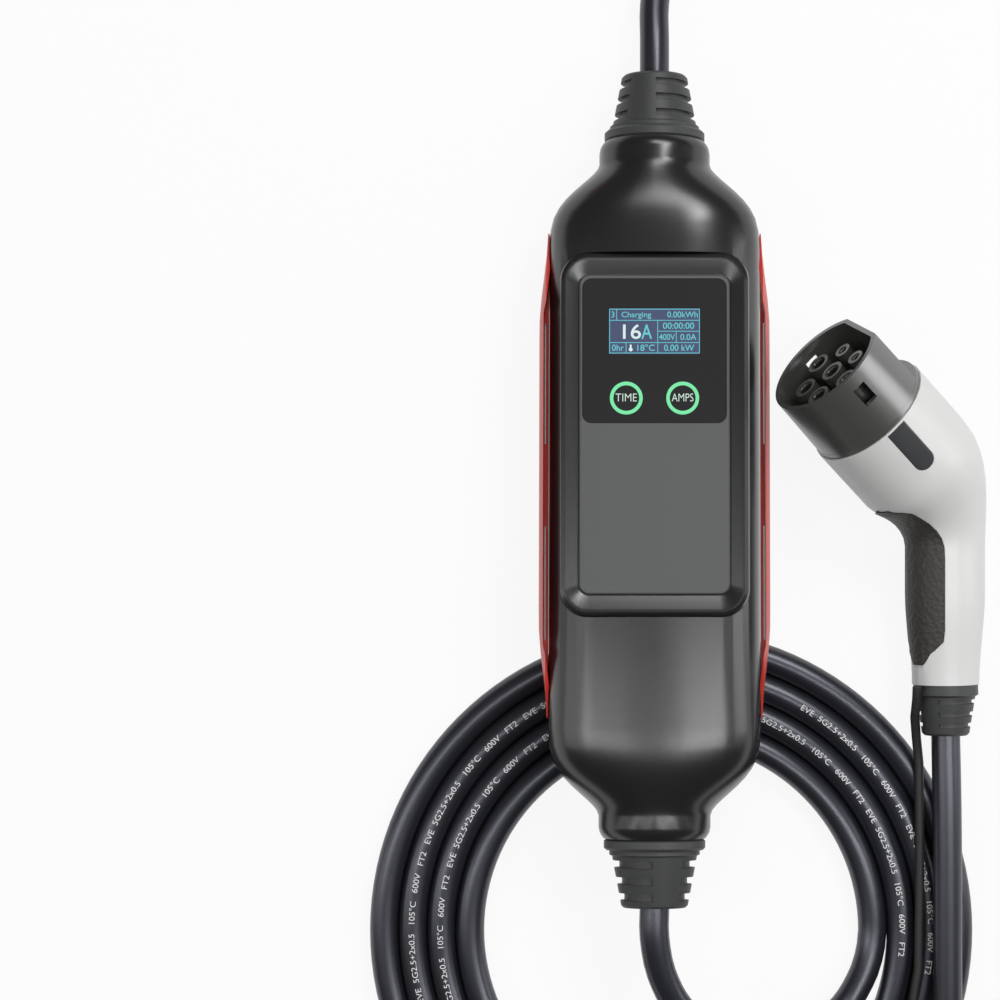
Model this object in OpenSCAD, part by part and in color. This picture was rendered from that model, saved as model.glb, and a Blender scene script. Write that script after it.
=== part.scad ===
// Portable charger for electric vehicles: a control box in the cord, a coiled output cord with a
// Type 2 vehicle connector, and a short supply cord with a five-pin plug.
// Frame: +Z up, +Y towards the supply cord, +X towards the connector, the box lying on its back.

/* [Housing] */
// Length of the housing from neck to neck
body_l = 307; // [280:1:340]
// Width of the housing
body_w = 93; // [88:0.5:100]
// Height of the front crown above the parting plane
body_front = 31; // [28:0.5:36]
// Depth of the back below the parting plane
body_back = 29; // [26:0.5:34]
// Diameter of the round necks
neck_d = 49; // [46:0.5:54]
// Length of a straight neck
neck_l = 10; // [7:0.5:14]
// Length of a shoulder between neck and body
shoulder_l = 38; // [30:0.5:46]
// Wall of the housing shells
wall = 2.5; // [2:0.1:3.5]
// Thickness of the end wall that holds a strain relief
end_wall = 3; // [2:0.5:4]

/* [Raised frame and face plate] */
// Width of the raised frame
boss_w = 82.4; // [80:0.2:86]
// Length of the raised frame
boss_l = 158.4; // [152:0.2:164]
// Corner radius of the raised frame
boss_r = 12.5; // [8:0.5:16]
// How far the frame's crest lies below the front crown
boss_drop = 1.8; // [0.6:0.1:2.4]
// Centre of the face along the box
face_y = 21.4; // [18:0.2:26]
// Width of the face plate
plate_w = 65.2; // [63.6:0.1:68]
// Length of the face plate
plate_l = 138.7; // [132:0.1:146]
// Corner radius of the face plate
plate_r = 4.5; // [2:0.5:8]
// Depth of the plate's seat below the frame's crest
dish_depth = 4.6; // [3.4:0.2:6]
// Fall of the frame from its crest to the plate
dish_fall = 1.8; // [1:0.1:2.6]
// Width of the dark panel
lens_w = 62.4; // [56:0.1:63.2]
// Length of the dark panel
lens_l = 62.8; // [58:0.2:68]
// Thickness of the dark panel
lens_t = 2.2; // [1.6:0.1:3]
// Width of the lit display
display_w = 39.5; // [34:0.5:46]
// Height of the lit display
display_l = 20; // [16:0.2:24]
// Outer diameter of a touch key's ring
key_d = 14.2; // [12:0.1:17]
// Width of a touch key's ring
key_ring = 1.5; // [1:0.1:2.5]
// Distance between the two touch keys
key_pitch = 24.4; // [20:0.2:30]

/* [Side guards] */
// Length of a side guard
guard_l = 213; // [190:1:230]
// How far a guard stands out from the housing
guard_proud = 4.4; // [3:0.2:6]
// Half the angle that a guard wraps round the side
guard_wrap = 26; // [20:1:34]

/* [Cords] */
// Diameter of both cords
cord_d = 13; // [11:0.5:14]
// Mean radius of the coil's innermost turn
coil_r = 90.5; // [86:0.5:98]
// Number of turns in the coil
coil_turns = 4; // [3:1:4]
// Diameter of the cap's tether
strap_d = 4.2; // [3:0.1:5]

/* [Connector] */
// Bend between grip and head
grip_bend = 49.4; // [42:0.1:56]
// Radius of the bend's centre line
grip_bend_r = 48; // [42:1:56]
// Grip length from the bend's corner to its lower end
grip_l = 83.5; // [74:0.1:96]
// Head length from the bend's corner to its rim
head_l = 58; // [52:0.1:66]
// Radius of the grip
grip_r = 18.3; // [16:0.1:21]
// Radius of the grip's lower end
grip_end_r = 15.6; // [14:0.2:18]
// Radius of the head's rim
rim_r = 28.7; // [27.5:0.1:33]
// Wall of the connector's shells
grip_wall = 2.6; // [2:0.1:3.2]
// Radius of the sleeve
sleeve_r = 27; // [25:0.1:28]
// Wall of the sleeve
sleeve_wall = 2.2; // [1.8:0.1:3]
// How far the sleeve stands out of the rim
sleeve_l = 31.5; // [29:0.5:42]
// Distance from the sleeve's axis to its flat
sleeve_flat = 22.6; // [20:0.1:24]
// Bore of a power contact
contact_d = 6.1; // [5.8:0.05:6.6]
// Bore of a signal contact
signal_d = 3.1; // [2.8:0.05:3.6]
// Wall of a contact
contact_wall = 0.6; // [0.4:0.05:0.9]
// Wall of the insulating chimney round a contact
chimney_wall = 1.6; // [0.8:0.05:1.8]

/* [Plug] */
// Outer radius of the plug's shroud
shroud_r = 29; // [26:0.5:32]
// Wall of the shroud
shroud_wall = 3; // [2:0.1:4]
// Length of the shroud
shroud_l = 52; // [44:1:60]
// Length of the plug's grip
plug_grip_l = 46; // [40:1:60]
// Diameter of a phase pin
pin_d = 5; // [4.8:0.1:6]
// Diameter of the earth pin
earth_pin_d = 6; // [5.8:0.1:7]

/* [Hidden] */
$fn = 64;

// Clearance between pieces that fit together
fit = 0.15;
// Gap kept between curved pieces that lie on each other
rest_gap = 0.3;

// Superellipse powers of the front and back half of the body's section
front_power = 2.7;
back_power = 4.5;
// Rounding of a neck's outer end
neck_edge = 2.2;
neck_edge_l = 5;
// Points on half a section
half_steps = 22;
// Places along a shoulder, as parts of its length, where a section is drawn
shoulder_steps = [0, 0.06, 0.12, 0.19, 0.26, 0.34, 0.43, 0.53, 0.65, 0.8, 1];

function mix(a, b, t) = a + (b - a) * t;
function limit01(t) = min(1, max(0, t));
function ease(t) = let (u = limit01(t)) u * u * (3 - 2 * u);
function signed_power(v, p) = sign(v) * pow(abs(v), p);
function unit(v) = v / norm(v);

// Housing form: round necks that swell into a flat-backed body
half_l = body_l / 2;
function swell(y) =
    let (t = limit01((half_l - abs(y) - neck_l) / shoulder_l)) pow(1 - pow(1 - t, 3), 1.8);
function body_point(y, angle, grow) =
    let (
        s = swell(y),
        deep = angle <= 180 ? body_front : body_back,
        power = mix(2, angle <= 180 ? front_power : back_power, s),
        edge = neck_edge * pow(1 - limit01((half_l - abs(y)) / neck_edge_l), 2),
        a = mix(neck_d, body_w, s) / 2 - edge + grow,
        b = mix(neck_d / 2, deep, s) - edge + grow
    )
    [
        a * signed_power(cos(angle), 2 / power),
        y,
        b * signed_power(sin(angle), 2 / power)
    ];
// Section places from the lower neck to the upper one, within the given end
function body_places(end) =
    let (
        half = [for (k = shoulder_steps) half_l - neck_l - shoulder_l * k],
        rim = [half_l - neck_edge_l * 0.25, half_l - neck_edge_l * 0.55, half_l - neck_edge_l],
        kept = [for (y = concat(rim, half)) if (y < end - 0.1) y]
    )
    concat([-end], [for (i = [0 : len(kept) - 1]) -kept[i]],
        [for (i = [len(kept) - 1 : -1 : 0]) kept[i]], [end]);
// One half of the form, from angle start over 180 degrees, closed at or past the parting plane
function half_ring(y, start, grow, past) =
    let (
        arc = [for (i = [0 : half_steps]) body_point(y, start + 180 * i / half_steps, grow)],
        down = start == 0 ? -past : past
    )
    past == 0 ? arc
        : concat(arc, [[arc[half_steps].x, y, down], [arc[0].x, y, down]]);

// Solid through a list of rings with equal counts of points
module loft(rings) {
    n = len(rings[0]);
    m = len(rings);
    points = [for (ring = rings) each ring];
    sides = [
        for (i = [0 : m - 2])
            for (j = [0 : n - 1])
                let (k = (j + 1) % n)
                    each [
                        [i * n + j, (i + 1) * n + k, (i + 1) * n + j],
                        [i * n + j, i * n + k, (i + 1) * n + k]
                    ]
    ];
    first = [for (j = [n - 1 : -1 : 0]) j];
    last = [for (j = [0 : n - 1]) (m - 1) * n + j];
    polyhedron(points, concat([first], sides, [last]), convexity = 10);
}
module body_half(start, grow, end, past) {
    loft([for (y = body_places(end)) half_ring(y, start, grow, past)]);
}
module rounded_rect(w, l, r) {
    square([w - 2 * r, l], center = true);
    square([w, l - 2 * r], center = true);
    for (x = [-1, 1], y = [-1, 1])
        translate([x * (w / 2 - r), y * (l / 2 - r)])
            circle(r);
}
module rounded_block(w, l, r, z0, z1) {
    translate([0, 0, z0])
        linear_extrude(z1 - z0)
            rounded_rect(w, l, r);
}
// Rotates a piece drawn along +Z so that it runs along +Y
module along_y() {
    rotate([-90, 0, 0])
        children();
}

// Coil on the floor
turn_pitch = cord_d + 0.1;
coil_x = 7.5;
coil_y = -199;
coil_in = coil_r - cord_d / 2;
coil_out = coil_r + (coil_turns - 1) * turn_pitch + cord_d / 2;

// Rest of the box: its upper end on the floor, its lower half on the coil
pivot_y = half_l - neck_l - shoulder_l * 0.65;
contact_y = coil_y + coil_out - cord_d / 2;
rest_tilt = asin((cord_d + 2 * rest_gap) / (pivot_y - contact_y));
rest_low = min([
    for (y = body_places(half_l))
        for (i = [0 : half_steps])
            let (p = body_point(y, 180 + 180 * i / half_steps, 0))
                p.z * cos(rest_tilt) - p.y * sin(rest_tilt)
]);
module box_pose() {
    translate([0, 0, -rest_low])
        rotate([-rest_tilt, 0, 0])
            children();
}

// Levels in the box, above the parting plane
crest_z = body_front - boss_drop;
dish_z = crest_z - dish_depth;
face_z = crest_z - 0.4;
cavity_z = dish_z - wall;
dish_slope = 7;
lens_y = face_y + plate_l / 2 - lens_l / 2 - 1.8;
display_y = lens_y + 8.5;
key_y = lens_y - 20.6;
board_t = 1.6;
board_w = 58;
board_l = 190;
board_z = -14;
screw_x = 36.5;
screw_pitch = 92;
screw_hole_r = 2.1;
screw_head_r = 3.7;
screw_boss_r = 5;
screw_seat_z = -body_back + 9;
screw_tip_z = 12;
post_r = 3;
post_x = 24;
post_y = 85;

module at_screws() {
    for (x = [-1, 1], k = [-1, 0, 1])
        translate([x * screw_x, k * screw_pitch, 0])
            children();
}
module neck_holes() {
    along_y()
        translate([0, 0, -half_l - 1])
            cylinder(r = gland_groove_r + fit, h = body_l + 2);
}

module front_form() {
    difference() {
        body_half(0, 0, half_l, 0);
        translate([0, face_y, 0])
            rounded_block(boss_w, boss_l, boss_r, crest_z - 2.6, body_front + 1);
    }
    translate([0, face_y, 0])
        hull() {
            rounded_block(boss_w, boss_l, boss_r, 8, crest_z - 2.6);
            rounded_block(boss_w - 1.4, boss_l - 1.4, boss_r - 0.7, 8, crest_z - 0.8);
            rounded_block(boss_w - 4.4, boss_l - 4.4, boss_r - 2.2, 8, crest_z);
        }
}
module front_cavity() {
    intersection() {
        body_half(0, -wall, half_l - end_wall, 1);
        translate([-body_w, -body_l, -2])
            cube([2 * body_w, 2 * body_l, cavity_z + 2]);
    }
}
module front_shell() {
    color("#2b2b2d")
        box_pose()
            difference() {
                front_form();
                difference() {
                    front_cavity();
                    at_screws()
                        translate([0, 0, -1])
                            cylinder(r = screw_boss_r, h = body_front);
                }
                translate([0, face_y, 0]) {
                    hull() {
                        rounded_block(boss_w - dish_slope, boss_l - dish_slope, boss_r - 3,
                            crest_z, crest_z + 1);
                        rounded_block(plate_w + 0.8, plate_l + 0.8, plate_r + 0.4,
                            crest_z - dish_fall, crest_z);
                    }
                    rounded_block(plate_w + 2 * fit, plate_l + 2 * fit, plate_r + fit,
                        dish_z, crest_z);
                }
                translate([0, display_y, 0])
                    rounded_block(display_w - 6, display_l - 4, 2, cavity_z - 1, dish_z + 1);
                at_screws()
                    translate([0, 0, -1])
                        cylinder(r = screw_hole_r, h = screw_tip_z + 2);
                neck_holes();
            }
}
module rear_shell() {
    color("#262628")
        box_pose()
            difference() {
                body_half(180, 0, half_l, 0);
                difference() {
                    body_half(180, -wall, half_l - end_wall, 1);
                    at_screws()
                        translate([0, 0, -body_back])
                            cylinder(r = screw_boss_r, h = body_back);
                    for (x = [-1, 1], y = [-1, 1])
                        translate([x * post_x, y * post_y, -body_back])
                            cylinder(r = post_r, h = board_z + body_back);
                }
                at_screws() {
                    translate([0, 0, -body_back - 1])
                        cylinder(r = screw_head_r + fit, h = screw_seat_z + body_back + 1);
                    translate([0, 0, -body_back - 1])
                        cylinder(r = screw_hole_r, h = body_back + 2);
                }
                seal_ring(fit);
                neck_holes();
            }
}
// Gasket in a groove on the rear half's rim
seal_w = 1.2;
seal_t = 1;
seal_in = 0.7;
seal_end = half_l - end_wall - 6;
module seal_outline(inset) {
    places = body_places(seal_end - inset);
    polygon(concat(
        [for (y = places) [body_point(y, 0, 0).x - inset, y]],
        [for (i = [len(places) - 1 : -1 : 0]) [-body_point(places[i], 0, 0).x + inset, places[i]]]
    ));
}
module seal_ring(room) {
    translate([0, 0, -seal_t - room])
        linear_extrude(seal_t + room)
            difference() {
                seal_outline(seal_in - room);
                seal_outline(seal_in + seal_w + room);
                square([neck_d - 2 * wall, body_l], center = true);
            }
}
module housing_seal() {
    color("#151515")
        box_pose()
            seal_ring(0);
}

// Side guards: lens-shaped shells that hug the housing's sides
guard_steps = 22;
guard_arc_steps = 8;
guard_end_wrap = 7;
guard_end_t = 0.8;
guard_y = 5.5;
guard_taper = 0.2;
function guard_rise(k) = ease(min(k, 1 - k) / guard_taper);
function guard_ring(k) =
    let (
        y = guard_y + guard_l * (k - 0.5),
        rise = guard_rise(k),
        wrap = mix(guard_end_wrap, guard_wrap, rise),
        out = mix(guard_end_t, guard_proud, rise),
        turn = function (a) a < 0 ? a + 360 : a
    )
    concat(
        [for (i = [0 : guard_arc_steps])
            let (a = wrap * (1 - 2 * i / guard_arc_steps)) body_point(y, turn(a), 2 * fit)],
        [for (i = [guard_arc_steps : -1 : 0])
            let (a = wrap * (1 - 2 * i / guard_arc_steps)) body_point(y, turn(a), out)]
    );
slot_w = 1.7;
slot_gap = 0.7;
slots = [[19, 72.5], [-67, -17]];
recess = [-69, 76];
web_h = 5;
lip_x = body_w / 2 + 2 * fit + slot_w;
end_x = body_w / 2 + 0.7;
module guard() {
    color("#c03a30")
        difference() {
            loft([for (i = [0 : guard_steps]) guard_ring(i / guard_steps)]);
            for (s = slots)
                translate([lip_x - slot_gap, s[0], -body_back])
                    cube([slot_gap, s[1] - s[0], body_front + body_back]);
            for (up = [-1, 1])
                translate([0, 0, up > 0 ? web_h : -web_h - body_back])
                    linear_extrude(body_back)
                        polygon([
                            [0, -guard_l], [body_w / 2 - 2, guard_y - guard_l / 2 - 1],
                            [end_x, recess[0] - 6], [lip_x, recess[0]], [lip_x, recess[1]],
                            [end_x, recess[1] + 6], [body_w / 2 - 2, guard_y + guard_l / 2 + 1],
                            [0, guard_l]
                        ]);
        }
}
module side_guard_right() {
    box_pose()
        guard();
}
module side_guard_left() {
    box_pose()
        mirror([1, 0, 0])
            guard();
}

// Face plate with its dark panel, display and touch-key rings
module face_plate() {
    color("#5c5d5e")
        box_pose()
            difference() {
                translate([0, face_y, 0])
                    hull() {
                        rounded_block(plate_w, plate_l, plate_r, dish_z, face_z - 0.6);
                        rounded_block(plate_w - 1.2, plate_l - 1.2, plate_r - 0.6, dish_z, face_z);
                    }
                translate([0, lens_y, 0])
                    rounded_block(lens_w + 2 * fit, lens_l + 2 * fit, 4 + fit,
                        face_z - lens_t, face_z + 1);
                translate([0, display_y, 0])
                    rounded_block(display_w - 6, display_l - 4, 2, dish_z - 1, face_z);
            }
}
key_depth = 0.8;
module at_keys(sides) {
    for (s = sides)
        translate([s * key_pitch / 2, key_y, face_z])
            children();
}
module screen_lens() {
    color("#2f3031")
        box_pose()
            difference() {
                translate([0, lens_y, 0])
                    rounded_block(lens_w, lens_l, 4, face_z - lens_t, face_z);
                translate([0, display_y, 0])
                    rounded_block(display_w + 2 * fit, display_l + 2 * fit, 0.6,
                        face_z - lens_t - 1, face_z + 1);
                at_keys([-1, 1])
                    translate([0, 0, -key_depth])
                        difference() {
                            cylinder(d = key_d + 2 * fit, h = 2 * key_depth);
                            cylinder(d = key_d - 2 * key_ring - 2 * fit, h = 2 * key_depth);
                        }
            }
}
module display_module() {
    color("#47566b")
        box_pose()
            translate([0, display_y, 0])
                rounded_block(display_w, display_l, 0.5, face_z - lens_t, face_z - 0.1);
}
module key_light(side) {
    color("#7df5b0")
        box_pose()
            at_keys([side])
                translate([0, 0, -key_depth])
                    difference() {
                        cylinder(d = key_d, h = key_depth);
                        translate([0, 0, -1])
                            cylinder(d = key_d - 2 * key_ring, h = key_depth + 2);
                    }
}
module time_ring() {
    key_light(-1);
}
module amps_ring() {
    key_light(1);
}

// Inside the box
module display_board() {
    color("#1f5a35")
        box_pose()
            translate([0, lens_y, 0])
                rounded_block(board_w, lens_l, 2, cavity_z - board_t, cavity_z);
}
module main_board() {
    color("#1f5a35")
        box_pose()
            rounded_block(board_w, board_l, 3, board_z, board_z + board_t);
}
board_top = board_z + board_t;
relay_l = 30;
relay_w = 25;
relay_h = 21;
module power_relays() {
    color("#1b3f78")
        box_pose()
            for (x = [-1, 1], y = [0, 1])
                translate([x * (relay_w / 2 + 1.5), 18 + y * (relay_l + 4), 0])
                    rounded_block(relay_w, relay_l, 1, board_top, board_top + relay_h);
}
sensor_r = 15;
sensor_bore_r = 8.5;
sensor_l = 14;
module leakage_sensor() {
    color("#3a3a3a")
        box_pose()
            translate([0, -30, board_top + sensor_r])
                along_y()
                    difference() {
                        cylinder(r = sensor_r, h = sensor_l, center = true);
                        cylinder(r = sensor_bore_r, h = sensor_l + 2, center = true);
                    }
}
module power_supply() {
    color("#202224")
        box_pose()
            translate([0, -9, 0])
                rounded_block(48, 24, 1, board_top, board_top + 16);
}
terminal_l = 16;
terminal_h = 14;
module terminals(y) {
    color("#3d7a4a")
        box_pose()
            for (i = [-2 : 2])
                translate([i * 9.6, y, 0])
                    difference() {
                        rounded_block(9.2, terminal_l, 0.6, board_top, board_top + terminal_h);
                        translate([0, 0, board_top + terminal_h - 4])
                            cylinder(r = 2.6, h = 5);
                    }
}
module supply_terminals() {
    terminals(board_l / 2 - terminal_l / 2 - 3);
}
module output_terminals() {
    terminals(-board_l / 2 + terminal_l / 2 + 3);
}
module housing_screws() {
    color("#8d8f92")
        box_pose()
            at_screws() {
                difference() {
                    translate([0, 0, screw_seat_z - 2.6])
                        cylinder(r = screw_head_r, h = 2.6);
                    translate([0, 0, screw_seat_z - 3])
                        cylinder(r = 1.9, h = 1.8, $fn = 6);
                }
                translate([0, 0, screw_seat_z - 1])
                    cylinder(r = screw_hole_r - 0.05, h = screw_tip_z - screw_seat_z + 1);
            }
}

// Strain reliefs: a ribbed boot, held by a groove in the end wall
gland_l = 30;
gland_groove_r = 16;
gland_flange_r = 20;
gland_flange_t = 2.5;
gland_collar_r = 22.2;
gland_collar_t = 5;
gland_base_r = 19.2;
gland_tip_r = 14.6;
gland_grooves = [9.4, 16.6, 23.6];
gland_slot_w = 3.2;
gland_slot_deep = 2.4;
gland_spine = 44;
gland_bore_r = cord_d / 2 + 0.1;
gland_inner = end_wall + gland_flange_t + fit;
module gland() {
    difference() {
        rotate_extrude()
            polygon([
                [gland_bore_r, -gland_inner],
                [gland_flange_r, -gland_inner],
                [gland_flange_r, -end_wall - fit],
                [gland_groove_r, -end_wall - fit],
                [gland_groove_r, fit],
                [gland_collar_r - 1, fit],
                [gland_collar_r, 1],
                [gland_collar_r, gland_collar_t - 1],
                [gland_collar_r - 1, gland_collar_t],
                [gland_base_r + 0.6, gland_collar_t + 0.3],
                [gland_base_r + 0.6, gland_collar_t + 2],
                [gland_base_r - 0.6, gland_collar_t + 2.6],
                [gland_tip_r, gland_l - 1],
                [gland_tip_r - 1, gland_l],
                [gland_bore_r, gland_l]
            ]);
        for (h = gland_grooves, side = [0, 180])
            rotate([0, 0, side + gland_spine / 2 - 110])
                translate([0, 0, h])
                    rotate_extrude(angle = 180 - gland_spine)
                        translate([mix(gland_base_r, gland_tip_r, h / gland_l) - gland_slot_deep, 0])
                            square([gland_slot_deep + 4, gland_slot_w]);
    }
}
module supply_gland() {
    color("#38393a")
        box_pose()
            translate([0, half_l, 0])
                along_y()
                    gland();
}
module output_gland() {
    color("#38393a")
        box_pose()
            rotate([0, 0, 180])
                translate([0, half_l, 0])
                    along_y()
                        gland();
}
grommet_l = 7;
module grommet() {
    difference() {
        cylinder(r = neck_d / 2 - wall - 1, h = grommet_l);
        translate([0, 0, -1])
            cylinder(r = gland_bore_r, h = grommet_l + 2);
    }
}
module grommet_seat() {
    translate([0, half_l - gland_inner - grommet_l, 0])
        along_y()
            grommet();
}
module supply_grommet() {
    color("#141414")
        box_pose()
            grommet_seat();
}
module output_grommet() {
    color("#141414")
        box_pose()
            rotate([0, 0, 180])
                grommet_seat();
}

// Cords: tubes along routes chosen by hand, and the coil
cord_sides = 10;
function tangent(path, i) =
    unit(path[min(i + 1, len(path) - 1)] - path[max(i - 1, 0)]);
function tube_ring(path, i, r, sides) =
    let (
        t = tangent(path, i),
        across = unit(cross(t, [0, 0, 1])),
        up = cross(across, t)
    )
    [for (j = [0 : sides - 1])
        path[i] + r * (cos(360 * j / sides) * across + sin(360 * j / sides) * up)];
module tube(path, d, sides) {
    loft([for (i = [0 : len(path) - 1]) tube_ring(path, i, d / 2, sides)]);
}
// A place on the box's axis in the resting pose
function on_axis(y) = [0, y * cos(rest_tilt), -rest_low - y * sin(rest_tilt)];
cord_start = half_l - gland_inner - grommet_l;
cord_exit = half_l + gland_l;
supply_route = [
    on_axis(cord_start), on_axis(half_l), on_axis(cord_exit + 1),
    [0, 200, 21.6], [0, 216, 17], [3, 233, 11.5], [11, 249, 8], [22, 263, 6.6], [31, 279, 6.6],
    [35, 297, 6.6], [32, 316, 6.6], [22.5, 333, 6.8], [8, 344.5, 8.6], [-9, 349.5, 12.5],
    [-28, 350.5, 18.5], [-46, 350.5, 24.6], [-60, 350.5, 28.2], [-72, 350.5, 29]
];
output_route = [
    on_axis(-cord_start), on_axis(-half_l), on_axis(-cord_exit - 1),
    [0, -196, 51], [3, -212, 49], [11, -228, 44.5], [24, -240, 38.5], [40, -247, 31.5],
    [56, -247.5, 24.5], [66, -245, 20.4]
];
module supply_cord() {
    color("#2a2b30")
        tube(supply_route, cord_d, cord_sides);
}
module output_lead() {
    color("#2a2b30")
        tube(output_route, cord_d, cord_sides);
}
module cord_coil() {
    color("#2a2b30")
        translate([coil_x, coil_y, 0])
            rotate_extrude($fn = 96) {
                translate([coil_in + cord_d / 2, cord_d / 2])
                    circle(d = cord_d);
                translate([coil_out - cord_d / 2, cord_d / 2])
                    circle(d = cord_d);
                translate([coil_in + cord_d / 2, 0])
                    square([coil_out - coil_in - cord_d, cord_d]);
            }
}

// Connector: a grip that bends into a round head, swept along one centre line
connector_x = 130;
connector_y = -4;
connector_roll = 34.5;
// Turn of the contact face about the head's axis
head_turn = -20;
bend_run = grip_bend_r * tan(grip_bend / 2);
straight_l = grip_l - bend_run;
arc_l = grip_bend_r * grip_bend * PI / 180;
spine_l = straight_l + arc_l + head_l - bend_run;
// Centre and heading at a distance along the centre line
function spine(q) =
    q < straight_l ? [0, q - grip_l, 0]
    : q < straight_l + arc_l
        ? let (a = (q - straight_l) / grip_bend_r * 180 / PI)
            [grip_bend_r * (cos(a) - 1), grip_bend_r * sin(a) - bend_run, a]
        : let (d = q - straight_l - arc_l + bend_run)
            [-d * sin(grip_bend), d * cos(grip_bend), grip_bend];
function grip_radius(q) =
    mix(mix(grip_end_r, grip_r, ease(q / (0.35 * straight_l + 20))), rim_r,
        ease((q - straight_l) / (arc_l + 2.6)));
function grip_flat(q) = mix(0.9, 1, ease((q - straight_l) / arc_l));
function grip_point(q, angle, grow) =
    let (s = spine(q), r = grip_radius(q))
    [
        s[0] + (r + grow) * cos(angle) * cos(s[2]),
        s[1] + (r + grow) * cos(angle) * sin(s[2]),
        (r * grip_flat(q) + grow) * sin(angle)
    ];
grip_steps = 28;
grip_half_steps = 14;
function grip_half_ring(q, grow, past) =
    let (arc = [for (i = [0 : grip_half_steps]) grip_point(q, 180 * i / grip_half_steps, grow)])
    past == 0 ? arc
        : concat(arc, [
            [arc[grip_half_steps].x, arc[grip_half_steps].y, -past],
            [arc[0].x, arc[0].y, -past]
        ]);
module grip_half(grow, past, over) {
    loft([for (i = [0 : grip_steps])
        grip_half_ring(mix(-over, spine_l + over, i / grip_steps), grow, past)]);
}
connector_low = min([
    for (i = [0 : grip_steps])
        for (a = [0 : 10 : 350])
            let (p = grip_point(spine_l * i / grip_steps, a, 0))
                p.z * cos(connector_roll) - p.x * sin(connector_roll)
]);
module connector_pose() {
    translate([connector_x, connector_y, -connector_low])
        rotate([0, connector_roll, 0])
            children();
}
// The head's own frame: +Z out of the sleeve, +X towards its flat
module at_head() {
    rotate([0, 0, grip_bend])
        translate([0, head_l, 0])
            along_y()
                rotate([0, 0, head_turn])
                    children();
}
// Textured pad on the inner side of the grip
pad_t = 1.4;
pad_proud = 0.6;
pad_from = 9;
pad_to = 104;
pad_steps = 18;
pad_arc_steps = 8;
function pad_half(k) =
    mix(12, 52, ease(k / 0.13)) - 24 * ease((k - 0.52) / 0.33) - 20 * pow(limit01((k - 0.86) / 0.14), 1.5);
function pad_ring(k, low, high, room) =
    let (
        q = mix(pad_from - room, pad_to + room, k),
        a = pad_half(k) + room * 3,
        turn = function (i) 180 + a * (2 * i / pad_arc_steps - 1)
    )
    concat(
        [for (i = [0 : pad_arc_steps]) grip_point(q, turn(i), high)],
        [for (i = [pad_arc_steps : -1 : 0]) grip_point(q, turn(i), low)]
    );
module pad_form(low, high, room) {
    loft([for (i = [0 : pad_steps]) pad_ring(i / pad_steps, low, high, room)]);
}
// Inlay in the side of the head
inlay_w = 9;
inlay_l = 26;
inlay_t = 1.4;
inlay_off = -10;
inlay_low = 0.2;
module inlay_outline(room) {
    r = inlay_w / 2 + room;
    rotate([0, 0, grip_bend])
        translate([inlay_off, head_l - inlay_l + r, 0]) {
            circle(r);
            translate([-r, 0])
                square([2 * r, inlay_l - 1 - r + room]);
        }
}
module inlay_column(room) {
    linear_extrude(rim_r + 5)
        inlay_outline(room);
}
module half_shell() {
    difference() {
        grip_half(0, 0, 0);
        grip_half(-grip_wall, 1, 1);
        pad_form(-pad_t, 4, fit);
        difference() {
            inlay_column(fit);
            grip_half(-inlay_t, 1, 2);
        }
    }
}
module inlay() {
    intersection() {
        inlay_column(0);
        difference() {
            grip_half(-inlay_low, 0, -0.5);
            grip_half(-inlay_t, 1, 2);
        }
    }
}
module connector_shell_right() {
    color("#d8d8d6")
        connector_pose()
            half_shell();
}
module connector_shell_left() {
    color("#d8d8d6")
        connector_pose()
            mirror([0, 0, 1])
                half_shell();
}
module inlay_right() {
    color("#1c1d20")
        connector_pose()
            inlay();
}
module inlay_left() {
    color("#1c1d20")
        connector_pose()
            mirror([0, 0, 1])
                inlay();
}
module grip_pad() {
    color("#3a3835")
        connector_pose()
            intersection() {
                pad_form(-pad_t + 2 * fit, pad_proud, 0);
                translate([-grip_r - 20, -grip_l, -2 * grip_r])
                    cube([grip_r + 20, grip_l + head_l, 4 * grip_r]);
            }
}

// Sleeve, contacts and strain relief of the connector
sleeve_root = 12;
sleeve_base_r = rim_r - 0.8;
sleeve_step = 2.5;
sleeve_floor = 6;
lock_w = 6.2;
lock_l = 9.6;
lock_from = 16;
module d_disc(r, flat) {
    difference() {
        circle(r);
        translate([flat, -r])
            square([r, 2 * r]);
    }
}
module connector_sleeve() {
    color("#4a4a48")
        connector_pose()
            at_head()
                difference() {
                    union() {
                        intersection() {
                            cylinder(r1 = sleeve_base_r, r2 = sleeve_r, h = sleeve_l);
                            linear_extrude(sleeve_l)
                                d_disc(2 * sleeve_r, sleeve_flat);
                        }
                        translate([0, 0, -sleeve_root])
                            cylinder(r = sleeve_r - 2.5, h = sleeve_root);
                        translate([0, 0, 0.05])
                            cylinder(r = sleeve_base_r, h = sleeve_step);
                    }
                    translate([0, 0, sleeve_floor])
                        linear_extrude(sleeve_l)
                            d_disc(sleeve_r - sleeve_wall, sleeve_flat - sleeve_wall);
                    translate([0, 0, -sleeve_root - 1])
                        cylinder(r = sleeve_r - 2.5 - sleeve_wall, h = sleeve_root - 2);
                    for (side = [-1, 1])
                        translate([0, side * sleeve_r, lock_from + lock_l / 2])
                            cube([lock_w, 4 * sleeve_wall, lock_l], center = true);
                }
}
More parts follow.
